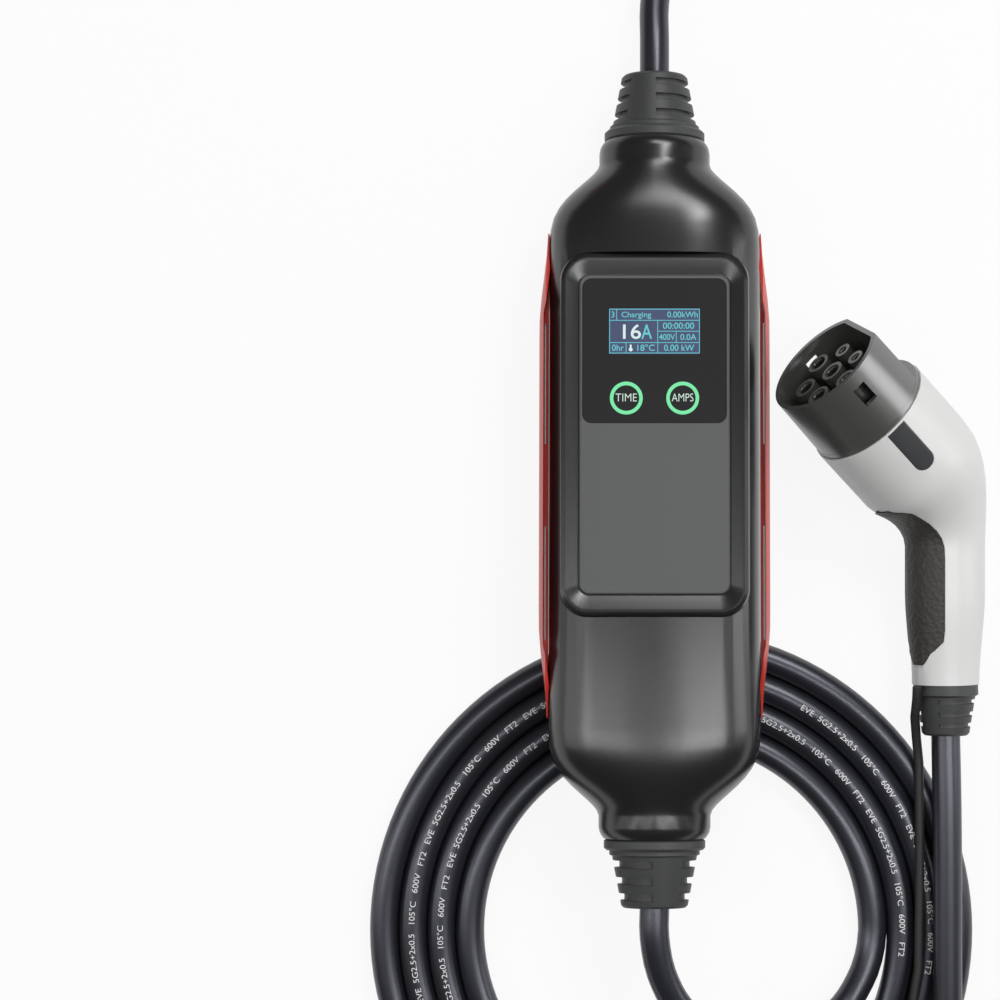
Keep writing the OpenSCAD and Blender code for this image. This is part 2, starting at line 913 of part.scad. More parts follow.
// Contact places: [towards the flat, across, bore]
contact_places = [
    [0, 0, contact_d], [0, -15, contact_d], [0, 15, contact_d],
    [-12.6, -7.1, contact_d], [-12.6, 7.1, contact_d],
    [10.6, -6.8, signal_d], [10.6, 6.8, signal_d]
];
carrier_t = 3;
chimney_l = 20.5;
module at_contacts() {
    for (c = contact_places)
        translate([c[0], c[1], sleeve_floor]) {
            $bore = c[2];
            children();
        }
}
module contact_carrier() {
    color("#3c3c3b")
        connector_pose()
            at_head()
                difference() {
                    union() {
                        translate([0, 0, sleeve_floor])
                            linear_extrude(carrier_t)
                                d_disc(sleeve_r - sleeve_wall - fit,
                                    sleeve_flat - sleeve_wall - fit);
                        at_contacts()
                            cylinder(d = $bore + 2 * (contact_wall + chimney_wall), h = chimney_l);
                    }
                    at_contacts()
                        translate([0, 0, carrier_t - 1])
                            cylinder(d = $bore + 2 * contact_wall + 0.1, h = chimney_l);
                }
}
module contacts() {
    color("#b8a06a")
        connector_pose()
            at_head()
                at_contacts()
                    translate([0, 0, carrier_t - 1])
                        difference() {
                            cylinder(d = $bore + 2 * contact_wall, h = chimney_l - carrier_t);
                            translate([0, 0, 1])
                                cylinder(d = $bore, h = chimney_l);
                        }
}
grip_gland_l = 22.7;
grip_gland_tip = 10.6;
grip_gland_grooves = [6.5, 12, 17];
module connector_gland() {
    color("#2e2f30")
        connector_pose()
            translate([0, -grip_l, 0])
                rotate([90, 0, 0])
                    difference() {
                        rotate_extrude()
                            polygon([
                                [gland_bore_r, -8],
                                [grip_end_r * 0.9 - grip_wall - 0.3, -8],
                                [grip_end_r * 0.9 - grip_wall - 0.3, 0],
                                [grip_end_r - 1.2, 0],
                                [grip_end_r - 1, 4.5],
                                [grip_end_r - 2.4, 5.4],
                                [grip_gland_tip, grip_gland_l - 1],
                                [grip_gland_tip - 1, grip_gland_l],
                                [gland_bore_r, grip_gland_l]
                            ]);
                        for (h = grip_gland_grooves, side = [0, 180])
                            rotate([0, 0, side + 15])
                                translate([0, 0, h])
                                    rotate_extrude(angle = 130)
                                        translate([mix(grip_end_r - 2, grip_gland_tip,
                                            h / grip_gland_l) - 1.4, 0])
                                            square([4, 2]);
                    }
}
connector_exit = connector_y - grip_l - grip_gland_l;
connector_route = [
    [connector_x, connector_exit + 22, -connector_low], [connector_x, connector_exit, -connector_low],
    [130.4, -126, 19.6], [130.6, -146, 20.2], [130.8, -175, 20.3], [130.8, -205, 20.3],
    [130.6, -234, 20.3], [128.3, -257, 20.3], [122.6, -276, 18.9], [113.8, -293.5, 15.7],
    [101.2, -309, 11.9], [80.5, -323.8, 8.4], [57, -334, 7], [38, -339.5, 6.6], [20, -342.3, 6.6]
];
module connector_lead() {
    color("#2a2b30")
        tube(connector_route, cord_d, cord_sides);
}

// Cap on its tether
cap_wall = 2.5;
cap_in_r = sleeve_r + 0.5;
cap_h = 32;
cap_x = 45;
cap_y = -294;
strap_z = cord_d + strap_d / 2 + rest_gap;
strap_route = [
    [116.4, connector_y - grip_l - 0.6, 30.3], [116.3, -93.4, 29.2], [115.9, -102, 23.6],
    [117.1, -112, 17.8], [118.4, -123, strap_z], [118.7, -150, strap_z], [118.7, -180, strap_z],
    [118.2, -215, strap_z], [114, -240, strap_z], [106, -260, strap_z], [95, -274, strap_z],
    [84, -282.5, strap_z], [75.5, -287, strap_z]
];
module cap_strap() {
    color("#33332f")
        tube(strap_route, strap_d, 8);
}
module dust_cap() {
    color("#262626")
        translate([cap_x, cap_y, cord_d + rest_gap])
            difference() {
                rotate_extrude()
                    polygon([
                        [0, 0], [cap_in_r + cap_wall - 2, 0], [cap_in_r + cap_wall, 2],
                        [cap_in_r + cap_wall, cap_h - 4], [cap_in_r + cap_wall + 1, cap_h - 4],
                        [cap_in_r + cap_wall + 1, cap_h], [0, cap_h]
                    ]);
                translate([0, 0, cap_wall])
                    cylinder(r = cap_in_r, h = cap_h);
            }
}

// Plug on the supply cord, lying on its side
plug_x = -72;
plug_y = 350.5;
nut_l = 20;
nut_r = 15;
insert_t = 10;
pin_l = 34;
pin_circle_r = 16;
module plug_pose() {
    translate([plug_x, plug_y, shroud_r])
        rotate([0, -90, 0])
            children();
}
module plug_nut() {
    color("#202124")
        plug_pose()
            difference() {
                union() {
                    cylinder(r = nut_r - 2, h = nut_l);
                    translate([0, 0, 4])
                        cylinder(r = nut_r, h = nut_l - 4, $fn = 12);
                }
                translate([0, 0, -1])
                    cylinder(r = gland_bore_r, h = nut_l + 2);
            }
}
module plug_body() {
    color("#2a2b2d")
        plug_pose()
            translate([0, 0, nut_l])
                rotate_extrude()
                    polygon([
                        [gland_bore_r, 0], [nut_r + 2.5, 0], [nut_r + 4, 3],
                        [shroud_r - 5, plug_grip_l - 14], [shroud_r - 1, plug_grip_l - 4],
                        [shroud_r - 1, plug_grip_l], [shroud_r - shroud_wall - 4, plug_grip_l],
                        [shroud_r - shroud_wall - 6, plug_grip_l - 12], [gland_bore_r, 12]
                    ]);
}
plug_face = nut_l + plug_grip_l;
module plug_shroud() {
    color("#b3261e")
        plug_pose()
            translate([0, 0, plug_face])
                rotate_extrude()
                    polygon([
                        [shroud_r - shroud_wall, 0], [shroud_r - 0.6, 0],
                        [shroud_r - 0.6, shroud_l - 5], [shroud_r, shroud_l - 5],
                        [shroud_r, shroud_l], [shroud_r - shroud_wall, shroud_l]
                    ]);
}
module plug_insert() {
    color("#1d1e20")
        plug_pose()
            translate([0, 0, plug_face])
                difference() {
                    cylinder(r = shroud_r - shroud_wall - fit, h = insert_t);
                    at_pins()
                        translate([0, 0, 2])
                            cylinder(d = $pin + 0.1, h = insert_t);
                }
}
module at_pins() {
    for (i = [0 : 4])
        rotate([0, 0, 72 * i])
            translate([-pin_circle_r, 0, 0]) {
                $pin = i == 0 ? earth_pin_d : pin_d;
                children();
            }
}
module plug_pins() {
    color("#c9b06e")
        plug_pose()
            translate([0, 0, plug_face + 2])
                at_pins() {
                    cylinder(d = $pin, h = insert_t - 2 + pin_l - 2);
                    translate([0, 0, insert_t - 2 + pin_l - 2])
                        cylinder(d1 = $pin, d2 = $pin - 2, h = 2);
                }
}

front_shell();
rear_shell();
housing_seal();
side_guard_left();
side_guard_right();
face_plate();
screen_lens();
display_module();
time_ring();
amps_ring();
display_board();
main_board();
power_relays();
leakage_sensor();
power_supply();
supply_terminals();
output_terminals();
housing_screws();
supply_gland();
output_gland();
supply_grommet();
output_grommet();
supply_cord();
output_lead();
cord_coil();
connector_lead();
cap_strap();
dust_cap();
plug_body();
plug_shroud();
plug_insert();
plug_pins();
plug_nut();
connector_shell_left();
connector_shell_right();
connector_sleeve();
contact_carrier();
contacts();
grip_pad();
inlay_left();
inlay_right();
connector_gland();
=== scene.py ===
# %% [markdown]
# # A portable car charger, dressed for the camera
# A portable charger is a slim box with a display, a cord with a plug towards the wall and a long
# cord with a white connector towards the car. Its solids come from a CAD program as a fixed frame,
# so nothing here moves or reshapes them. This lesson adds what solids lack: finishes, the flexible
# cords, the lit read-outs, and a stage with light. Lengths are millimetres in the part's frame,
# except for the stage, which is in metres: +Z up from the floor, +Y towards the supply cord, +X
# towards the connector.

# %% Load the part
import math

import bmesh
import bpy
from mathutils import Matrix, Vector


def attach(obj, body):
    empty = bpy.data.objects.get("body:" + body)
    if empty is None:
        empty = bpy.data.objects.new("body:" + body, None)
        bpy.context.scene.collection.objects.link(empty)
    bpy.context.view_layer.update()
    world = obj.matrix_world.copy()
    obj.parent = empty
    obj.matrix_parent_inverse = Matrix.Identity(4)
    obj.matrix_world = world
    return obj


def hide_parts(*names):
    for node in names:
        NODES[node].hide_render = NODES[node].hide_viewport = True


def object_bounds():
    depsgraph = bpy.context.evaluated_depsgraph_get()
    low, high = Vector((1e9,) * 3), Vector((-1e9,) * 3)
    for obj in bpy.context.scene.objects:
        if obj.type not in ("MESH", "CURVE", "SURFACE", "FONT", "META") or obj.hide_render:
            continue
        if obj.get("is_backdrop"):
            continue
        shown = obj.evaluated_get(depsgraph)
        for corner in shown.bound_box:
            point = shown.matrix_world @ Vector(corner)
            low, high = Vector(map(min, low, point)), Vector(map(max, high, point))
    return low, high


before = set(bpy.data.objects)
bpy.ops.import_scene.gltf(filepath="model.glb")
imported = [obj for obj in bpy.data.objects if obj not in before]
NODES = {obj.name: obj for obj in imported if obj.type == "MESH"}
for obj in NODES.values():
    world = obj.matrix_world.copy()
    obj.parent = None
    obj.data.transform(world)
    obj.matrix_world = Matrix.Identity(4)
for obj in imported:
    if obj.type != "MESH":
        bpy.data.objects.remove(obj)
MM = 0.001
print("CAD pieces:", len(NODES))

# %% [markdown]
# ## Colours and shader nodes
# A picked colour is an sRGB hex value, and a shader wants linear light. One function turns
# the first into the second. Node trees could be clicked together in the editor, but written out
# they are the same on every run, so one more function adds any node with its settings and links.


# %% Colours and nodes
def linear(code):
    """Linear RGBA from an sRGB hex colour."""
    parts = [int(code[i : i + 2], 16) / 255 for i in (1, 3, 5)]
    return [p / 12.92 if p <= 0.04045 else ((p + 0.055) / 1.055) ** 2.4 for p in parts] + [1.0]


def add_node(tree, kind, settings=None, links=None):
    """Adds a shader node; settings fill its properties or inputs, links run into its inputs."""
    node = tree.nodes.new(kind)
    for key, value in (settings or {}).items():
        if isinstance(key, str) and hasattr(node, key):
            setattr(node, key, value)
        else:
            node.inputs[key].default_value = value
    for key, source in (links or {}).items():
        tree.links.new(source, node.inputs[key])
    return node


print("white in linear light:", linear("#ffffff")[:3])


# %% [markdown]
# ## What a material starts from
# Every finish begins with one Principled shader: a colour, a roughness, and the refractive index
# of the stuff. Moulded plastic and rubber are never quite even, so a second function gives them a
# grain. It could be displaced geometry, but the grain is hardly wider than a pixel, and a bump on
# Object coordinates shows the same soft break-up of a highlight at no cost.


# %% Plain and grained materials
def material(name, code, rough, **settings):
    """A material of one colour, with its shader; settings fill more of the shader's inputs."""
    mat = bpy.data.materials.new(name)
    mat.use_nodes = True
    shader = mat.node_tree.nodes["Principled BSDF"]
    shader.inputs["Base Color"].default_value = linear(code)
    shader.inputs["Roughness"].default_value = rough
    for key, value in settings.items():
        shader.inputs[key.replace("_", " ")].default_value = value
    return mat


def add_grain(mat, grain_mm, depth_mm, strength, pattern="ShaderNodeTexNoise", height="Fac"):
    """Lays a bump on a material; the grain's width and depth are millimetres."""
    tree = mat.node_tree
    where = add_node(tree, "ShaderNodeTexCoord")
    texture = add_node(
        tree, pattern, {"Scale": 1 / (grain_mm * MM)}, {"Vector": where.outputs["Object"]}
    )
    bump = add_node(
        tree, "ShaderNodeBump", {"Strength": strength, "Distance": depth_mm * MM},
        {"Height": texture.outputs[height]},
    )
    tree.links.new(bump.outputs["Normal"], tree.nodes["Principled BSDF"].inputs["Normal"])


ABS_IOR = 1.53
ACRYLIC_IOR = 1.49
RUBBER_IOR = 1.52
LACQUER_IOR = 1.9
print("refractive indices:", ABS_IOR, ACRYLIC_IOR, RUBBER_IOR, LACQUER_IOR)

# %% [markdown]
# ## The control box
# The box is moulded from black ABS in a finely spark-eroded tool: long soft highlights with a
# little sparkle. Its guards are the same plastic in red, and the face plate has a coarser leather
# grain that looks paler because it scatters. Over the display sits a smoked window with a gloss of
# its own.

# %% Box materials
# Satin black: dark where it faces nothing, and two long bands where it faces the strip lights.
box_abs = material(
    "spark-eroded black ABS", "#19191b", 0.26, IOR=ABS_IOR, Specular_IOR_Level=0.64
)
# Real spark erosion is near 0.05 mm; it is drawn coarser here so that the picture can show it.
add_grain(box_abs, 0.5, 0.03, 0.4)
# Saturated red with a narrow sheen along its rolled lip.
guard_abs = material("moulded red ABS", "#cf382d", 0.36, IOR=ABS_IOR, Specular_IOR_Level=0.35)
# Flat mid grey, dusty from its grain.
plate_abs = material("leather-grained grey ABS", "#4d4e4f", 0.52, IOR=ABS_IOR)
add_grain(plate_abs, 0.6, 0.06, 0.6)
# Near-black and smooth, so it mirrors the room a little.
window_acrylic = material("smoked acrylic", "#2b2b2c", 0.16, IOR=ACRYLIC_IOR, Coat_Weight=0.2)
# Slate blue behind the read-outs.
display_glass = material("unlit display glass", "#46506e", 0.3, IOR=ACRYLIC_IOR)
print("box materials:", len(bpy.data.materials))

# %% [markdown]
# ## Lit pieces
# The key rings are light guides and the read-outs are lit from behind. A lamp behind a clear solid
# would do it as in life, but would need many samples to come out clean. An emission a little under
# 1 in the colour seen looks the same and hardly lights its surroundings.


# %% Lit materials
UNLIT = "#202422"


def lit_material(name, code, strength):
    """A dark material that glows in a colour."""
    return material(
        name, UNLIT, 0.4, IOR=ACRYLIC_IOR, Emission_Color=linear(code), Emission_Strength=strength
    )


key_light = lit_material("lit mint light guide", "#78f0aa", 0.9)
label_light = lit_material("lit white key label", "#e2fbee", 0.85)
line_light = lit_material("lit cyan segments", "#5cc7d2", 0.95)
reading_light = lit_material("lit white segments", "#dff3f5", 0.9)
print("lit materials:", len([m for m in bpy.data.materials if m.name.startswith("lit")]))

# %% [markdown]
# ## Cords, reliefs and connector
# The cords have a smooth rubber sheath, the strain reliefs are the same rubber with a matt tool.
# The connector's shell is white ABS, its sleeve a glass-filled nylon that shines on the edges, and
# the grip has a soft pad with a raised net of small cells.

# %% Cord and connector materials
# Blue-black with one soft line of light along the top of each turn.
cord_rubber = material(
    "smooth rubber sheath", "#1c1d22", 0.32, IOR=RUBBER_IOR, Specular_IOR_Level=0.8,
    Specular_Tint=linear("#f0f1ff"),
)
add_grain(cord_rubber, 0.6, 0.02, 0.3)
# Charcoal, without a clear highlight.
relief_rubber = material("matt moulded rubber", "#363738", 0.5, IOR=RUBBER_IOR)
add_grain(relief_rubber, 0.6, 0.03, 0.4)
# Satin white, shaded softly round the grip.
shell_abs = material("satin white ABS", "#d2d2d1", 0.36, IOR=ABS_IOR)
add_grain(shell_abs, 0.4, 0.015, 0.3)
# Dark grey that brightens to silver where it turns to the light.
# Glass fibres and a dark lacquer lift its index above that of plain nylon.
sleeve_nylon = material(
    "lacquered glass-filled nylon", "#393937", 0.28, IOR=LACQUER_IOR, Specular_IOR_Level=0.9
)
# Dull charcoal, broken up by its cells.
pad_rubber = material("soft-touch rubber", "#34322f", 0.55, IOR=RUBBER_IOR)
add_grain(pad_rubber, 2.2, 0.5, 0.7, "ShaderNodeTexVoronoi", "Distance")
# Black glass look on the side of the shell.
inlay_acrylic = material(
    "gloss black acrylic", "#343538", 0.32, IOR=ACRYLIC_IOR, Specular_IOR_Level=0.8
)
# Bright grey with a trace of yellow at the bottom of the contact wells.
contact_silver = material("silver-plated brass", "#8d8a82", 0.35, Metallic=1.0)
# Small white letters on the sheath.
sheath_print = material("white hot-stamp print", "#e4e4e4", 0.6)
print("materials so far:", len(bpy.data.materials))

# %% [markdown]
# ## What is seldom seen
# The plug on the supply cord, the dust cap and the parts inside the box also need a finish, because
# a part in a library is looked at from every side and may be cut open. Plain colours are enough.

# %% Remaining materials
# Matt black body and a red shroud, as on an industrial plug.
plug_nylon = material("matt black nylon", "#27282a", 0.5, IOR=ABS_IOR)
add_grain(plug_nylon, 0.5, 0.03, 0.4)
shroud_nylon = material("satin red nylon", "#b3261e", 0.4, IOR=ABS_IOR)
# Dull black rubber for the cap, duller silicone for the seals.
cap_rubber = material("matt black rubber", "#222222", 0.6, IOR=RUBBER_IOR)
seal_silicone = material("black silicone", "#151515", 0.7, IOR=RUBBER_IOR)
# Green boards and terminals, blue component cases, grey plated screws.
board_laminate = material("solder-masked laminate", "#1f5a35", 0.5)
case_polyester = material("blue component case", "#1b3f78", 0.45)
terminal_nylon = material("green terminal nylon", "#3d7a4a", 0.5)
screw_steel = material("zinc-plated steel", "#9a9b9e", 0.35, Metallic=1.0)
print("materials:", len(bpy.data.materials))

# %% [markdown]
# ## Dressing the CAD pieces
# A lofted housing arrives as flat facets. Its shading could be smoothed all over, but then the real
# edges would smear. So near-equal points are welded, edges sharper than a chosen angle are split,
# and the normals are weighted by face size: broad surfaces stay calm and only true edges stay
# crisp.

# %% Dress the pieces
WELD_WITHIN = 0.02
FACE_WEIGHT = 60
# Degrees above which an edge stays crisp.
BOX_EDGE = 24
GUARD_EDGE = 35
SHELL_EDGE = 30
SMALL_EDGE = 40
STRAP_EDGE = 60


def smooth_shade(obj, angle):
    """Rounds the shading of a faceted piece and keeps edges sharper than the angle."""
    for poly in obj.data.polygons:
        poly.use_smooth = True
    obj.modifiers.new("weld", "WELD").merge_threshold = WELD_WITHIN * MM
    obj.modifiers.new("edges", "EDGE_SPLIT").split_angle = math.radians(angle)
    obj.modifiers.new("normals", "WEIGHTED_NORMAL").weight = FACE_WEIGHT


def dress(names, mat, angle=None):
    """Gives CAD pieces a material and, for faceted ones, smooth shading."""
    for name in names.split():
        obj = NODES[name]
        obj.data.materials.clear()
        obj.data.materials.append(mat)
        if angle:
            smooth_shade(obj, angle)


dress("front_shell rear_shell", box_abs, BOX_EDGE)
dress("side_guard_left side_guard_right", guard_abs, GUARD_EDGE)
# The right guard is kept out of reflections and bounces: its red would stain the white connector.
NODES["side_guard_right"].visible_glossy = False
NODES["side_guard_right"].visible_diffuse = False
dress("face_plate", plate_abs, BOX_EDGE)
dress("screen_lens", window_acrylic)
dress("display_module", display_glass)
dress("time_ring amps_ring", key_light)
dress("supply_gland output_gland connector_gland", relief_rubber)
dress("connector_shell_left connector_shell_right", shell_abs, SHELL_EDGE)
dress("connector_sleeve contact_carrier", sleeve_nylon)
dress("grip_pad", pad_rubber, SMALL_EDGE)
dress("inlay_left inlay_right", inlay_acrylic, SMALL_EDGE)
dress("contacts plug_pins", contact_silver)
dress("supply_cord output_lead cord_coil connector_lead", cord_rubber)
print("dressed outside pieces")

# %% Dress the plug, the cap and the inside
dress("plug_body plug_insert plug_nut", plug_nylon)
dress("plug_shroud", shroud_nylon)
dress("cap_strap", cap_rubber, STRAP_EDGE)
dress("dust_cap", cap_rubber)
dress("housing_seal supply_grommet output_grommet", seal_silicone)
dress("display_board main_board", board_laminate)
dress("power_relays power_supply", case_polyester)
dress("leakage_sensor", seal_silicone)
dress("supply_terminals output_terminals", terminal_nylon)
dress("housing_screws", screw_steel)
print("pieces without a material:", [n for n in NODES if not NODES[n].data.materials])

# %% [markdown]
# ## Where the box lies
# One end of the box rests on the coil, so it is tilted a little. Marks on its face are drawn in the
# box's own upright frame and then carried to that pose. Parenting to a tilted empty would work too,
# but a finished piece keeps its place in its mesh, so the pose is a function of a point.

# %% The resting pose of the box
BOX_TILT = math.radians(4.1484)
BOX_LIFT = 37.178


def box_place(x, y, z):
    """A place given in the box's own frame, in metres in the part's frame."""
    c, s = math.cos(BOX_TILT), math.sin(BOX_TILT)
    return Vector((x, y * c + z * s, z * c - y * s + BOX_LIFT)) * MM


print("box centre:", box_place(0, 0, 0))

# %% [markdown]
# ## Cord routes
# The output cord leaves the lower strain relief, drops to the floor, makes four turns and climbs to
# the connector. It could be simulated, but a coil laid out turn by turn is neater than a simulated
# one. So a smooth line runs through a few chosen points, and each turn steps out by one cord width
# below the picture's lower edge, where a real coil has its crossing.

# %% A smooth line through points
CORD_R = 6.5
STEP = 5.0


def curve_through(points):
    """Points about one step apart on a smooth line through the given ones."""
    pts = [Vector(p) for p in points]
    full = [pts[0] * 2 - pts[1], *pts, pts[-1] * 2 - pts[-2]]
    out = []
    for a, b, c, d in zip(full, full[1:], full[2:], full[3:]):
        n = max(1, round((c - b).length / STEP))
        for t in (i / n for i in range(n)):
            square = (2 * a - 5 * b + 4 * c - d) * t * t
            cube = (3 * b - a - 3 * c + d) * t**3
            out.append(0.5 * (2 * b + (c - a) * t + square + cube))
    return [*out, pts[-1]]


def length_of(line):
    """The length of a line of points, in metres."""
    return sum((b - a).length for a, b in zip(line, line[1:])) * MM


print("step along a cord, mm:", STEP)

# %% The four turns
COIL = Vector((7.5, -199, CORD_R))
LANES = [90.7, 103.55, 116.4, 129.25, 142.3]
TURNS = 4
# Degrees at which a turn starts and ends its step outwards, and at which it hands over.
STEP_OUT = (240, 300, 360)
LAST_STEP_OUT = (225, 268, 272)


def coil_points():
    """The turns, counter-clockwise from the right."""
    out = []
    for k in range(TURNS):
        start, end, last = STEP_OUT if k < TURNS - 1 else LAST_STEP_OUT
        for a in range(0, last, 3):
            t = min(1, max(0, (a - start) / (end - start)))
            r = LANES[k] + (LANES[k + 1] - LANES[k]) * t * t * (3 - 2 * t)
            around = Vector((math.cos(math.radians(a)), math.sin(math.radians(a)), 0))
            out.append(COIL + around * r)
    return out


print("points on the turns:", len(coil_points()))

# %% The two routes
RELIEF_END = 183.5
INSIDE_RELIEF = 179.5


def on_axis(y):
    """A place on the box's long axis, in millimetres."""
    return box_place(0, y, 0) / MM


lead_in = [
    on_axis(-INSIDE_RELIEF), on_axis(-RELIEF_END), (0, -196, 51), (3, -212, 49), (11, -228, 44.5),
    (24, -240, 38.5), (40, -247, 31.5), (56, -247.5, 24.5), (68, -244.5, 19.5),
    (78.5, -238.5, 15.2), (87.5, -229.5, 11.4), (94.5, -217, 8.6), (97.5, -206, 7),
]
lead_out = [
    (20, -342.3, 6.6), (38, -339.5, 6.6), (57, -334, 7), (80.5, -323.8, 8.4), (101.2, -309, 11.9),
    (113.8, -293.5, 15.7), (122.6, -276, 18.9), (128.3, -257, 20.3), (130.6, -234, 20.3),
    (130.8, -205, 20.3), (130.8, -175, 20.3), (130.6, -146, 20.2), (130.3, -126, 19.8),
    (130, -110.2, 19.36), (130, -104, 19.36),
]
to_plug = [
    on_axis(INSIDE_RELIEF), on_axis(RELIEF_END), (0, 200, 21.6), (0, 216, 17), (3, 233, 11.5),
    (11, 249, 8), (22, 263, 6.6), (31, 279, 6.6), (35, 297, 6.6), (32, 316, 6.6),
    (22.5, 333, 6.8), (8, 344.5, 8.6), (-9, 349.5, 12.5), (-28, 350.5, 18.5), (-46, 350.5, 24.6),
    (-60, 350.5, 28.2), (-74, 350.5, 29),
]
output_line = curve_through([*lead_in, *coil_points(), *lead_out])
supply_line = curve_through(to_plug)
print("cords:", round(length_of(output_line), 3), round(length_of(supply_line), 3))

# %% [markdown]
# ## Cord pieces
# A cord is a round section swept along its route. A curve with a round bevel does that in one step
# and stays even in the bends, where an extruded mesh would twist. The CAD has stiff stand-ins for
# the cords; these pieces take their place, and the stand-ins are hidden.


# %% Cord pieces
def cord_object(name, line):
    """A curve with a round section along the line."""
    data = bpy.data.curves.new(name, "CURVE")
    data.dimensions = "3D"
    data.bevel_depth = CORD_R * MM
    data.bevel_resolution = 10
    data.use_fill_caps = True
    spline = data.splines.new("POLY")
    spline.points.add(len(line) - 1)
    for point, place in zip(spline.points, line):
        point.co = (*(place * MM), 1)
    spline.use_smooth = True
    data.materials.append(cord_rubber)
    obj = bpy.data.objects.new(name, data)
    bpy.context.scene.collection.objects.link(obj)
    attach(obj, "root")
    return obj


output_cord = cord_object("output_cord", output_line)
supply_cord = cord_object("supply_flex", supply_line)
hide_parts("output_lead", "cord_coil", "connector_lead")
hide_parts("supply_cord")
print("cord pieces:", output_cord.name, supply_cord.name)

# %% [markdown]
# ## Letters and lines
# The read-outs and labels are flat marks. A picture could carry them, but geometry stays sharp at
# any distance and needs no file. A text curve gives the letters, a cube squeezed flat gives a line,
# and both are gathered in one bmesh before the box's pose carries them to their place.

# %% Letters and lines as meshes
CAP_TO_SIZE = 1.37
BAR_THICK = 0.05


def word_mesh(words, cap, align, narrow, bold):
    """Flat letters about the origin as a mesh; cap is the height of a capital."""
    data = bpy.data.curves.new("letters", "FONT")
    data.body = words
    data.size = cap * CAP_TO_SIZE
    data.align_x = align
    data.align_y = "CENTER"
    data.offset = cap * bold
    obj = bpy.data.objects.new("letters", data)
    bpy.context.scene.collection.objects.link(obj)
    bpy.context.view_layer.update()
    evaluated = obj.evaluated_get(bpy.context.evaluated_depsgraph_get())
    mesh = bpy.data.meshes.new_from_object(evaluated)
    mesh.transform(Matrix.Diagonal((narrow, 1, 1, 1)))
    bpy.data.objects.remove(obj)
    bpy.data.curves.remove(data)
    return mesh


def add_words(bm, words, x, y, z, cap, align="CENTER", narrow=1.0, bold=0.01):
    """Adds letters to a bmesh, with their middle line at x, y."""
    mesh = word_mesh(words, cap, align, narrow, bold)
    mesh.transform(Matrix.Translation((x, y, z)))
    bm.from_mesh(mesh)
    bpy.data.meshes.remove(mesh)


def add_bar(bm, x0, y0, x1, y1, z):
    """Adds a flat bar between two corners."""
    made = bmesh.ops.create_cube(bm, size=1)["verts"]
    size = Matrix.Diagonal((x1 - x0, y1 - y0, BAR_THICK, 1))
    move = Matrix.Translation(((x0 + x1) / 2, (y0 + y1) / 2, z + BAR_THICK / 2))
    bmesh.ops.transform(bm, matrix=move @ size, verts=made)


def mark_piece(name, mat, bm):
    """Makes a piece of a filled bmesh."""
    mesh = bpy.data.meshes.new(name)
    bm.to_mesh(mesh)
    bm.free()
    mesh.materials.append(mat)
    obj = bpy.data.objects.new(name, mesh)
    bpy.context.scene.collection.objects.link(obj)
    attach(obj, "root")
    print(name, "points:", len(mesh.vertices))


def face_piece(name, mat, bm):
    """Carries marks from the box's own frame to the resting box."""
    for v in bm.verts:
        v.co = box_place(*v.co)
    mark_piece(name, mat, bm)


print("bar thickness:", BAR_THICK)

# %% [markdown]
# ## The display
# The display shows a small table: state and energy above, the current in large figures at the
# left, time, voltage and power at the right. Its frame is drawn with bars at the heights and widths
# of the real one, and each read-out is a word with its own width, because display digits are not
# set evenly.

# %% Display frame and read-outs
FACE = 28.8
DISPLAY_X, DISPLAY_Y = 0.0, 66.05
DISPLAY_Z = FACE - 0.1
HALF_W, HALF_H = 19.6, 9.6
HALF_LINE = 0.15
ROWS = [(9.55, -HALF_W), (4.7, -HALF_W), (-5.0, -HALF_W), (-9.55, -HALF_W), (-0.05, 1.3)]
COLUMNS = [
    (-19.45, -HALF_H, HALF_H), (19.45, -HALF_H, HALF_H), (-16.4, 4.7, HALF_H),
    (1.4, -HALF_H, 4.7), (9.4, -5.0, -0.1), (-12.3, -HALF_H, -5.0),
]
# Words, place, height of a capital, alignment, width.
READ_OUTS = [
    ("3", -18, 7.1, 2.7, "CENTER", 0.9), ("Charging", -14.4, 7.1, 2.5, "LEFT", 1.05),
    ("0.00kWh", 18.9, 7.1, 2.7, "RIGHT", 0.97), ("A", -3.4, -0.6, 6.6, "CENTER", 0.75),
    ("00:00:00", 10.4, 2.2, 2.8, "CENTER", 1.04), ("400V", 5.4, -2.7, 2.7, "CENTER", 0.88),
    ("0.0A", 14.6, -2.7, 2.7, "CENTER", 1.0), ("0hr", -15.9, -7.4, 2.8, "CENTER", 0.97),
    ("18°C", -4.0, -7.4, 2.8, "CENTER", 1.05), ("0.00 kW", 10.6, -7.4, 2.8, "CENTER", 0.97),
]
bm = bmesh.new()
for row, left in ROWS:
    y = DISPLAY_Y + row
    add_bar(bm, DISPLAY_X + left, y - HALF_LINE, DISPLAY_X + HALF_W, y + HALF_LINE, DISPLAY_Z)
for column, low, high in COLUMNS:
    x = DISPLAY_X + column
    add_bar(bm, x - HALF_LINE, DISPLAY_Y + low, x + HALF_LINE, DISPLAY_Y + high, DISPLAY_Z)
for words, x, y, cap, align, narrow in READ_OUTS:
    add_words(bm, words, DISPLAY_X + x, DISPLAY_Y + y, DISPLAY_Z, cap, align, narrow)
face_piece("display_marks", line_light, bm)

# %% [markdown]
# ## The large figures and the temperature sign
# The current is the figure one reads from afar, so it is whiter and heavier than the rest. Beside
# the temperature stands a small thermometer: a round bulb with a stem, which a circle and a bar
# give.

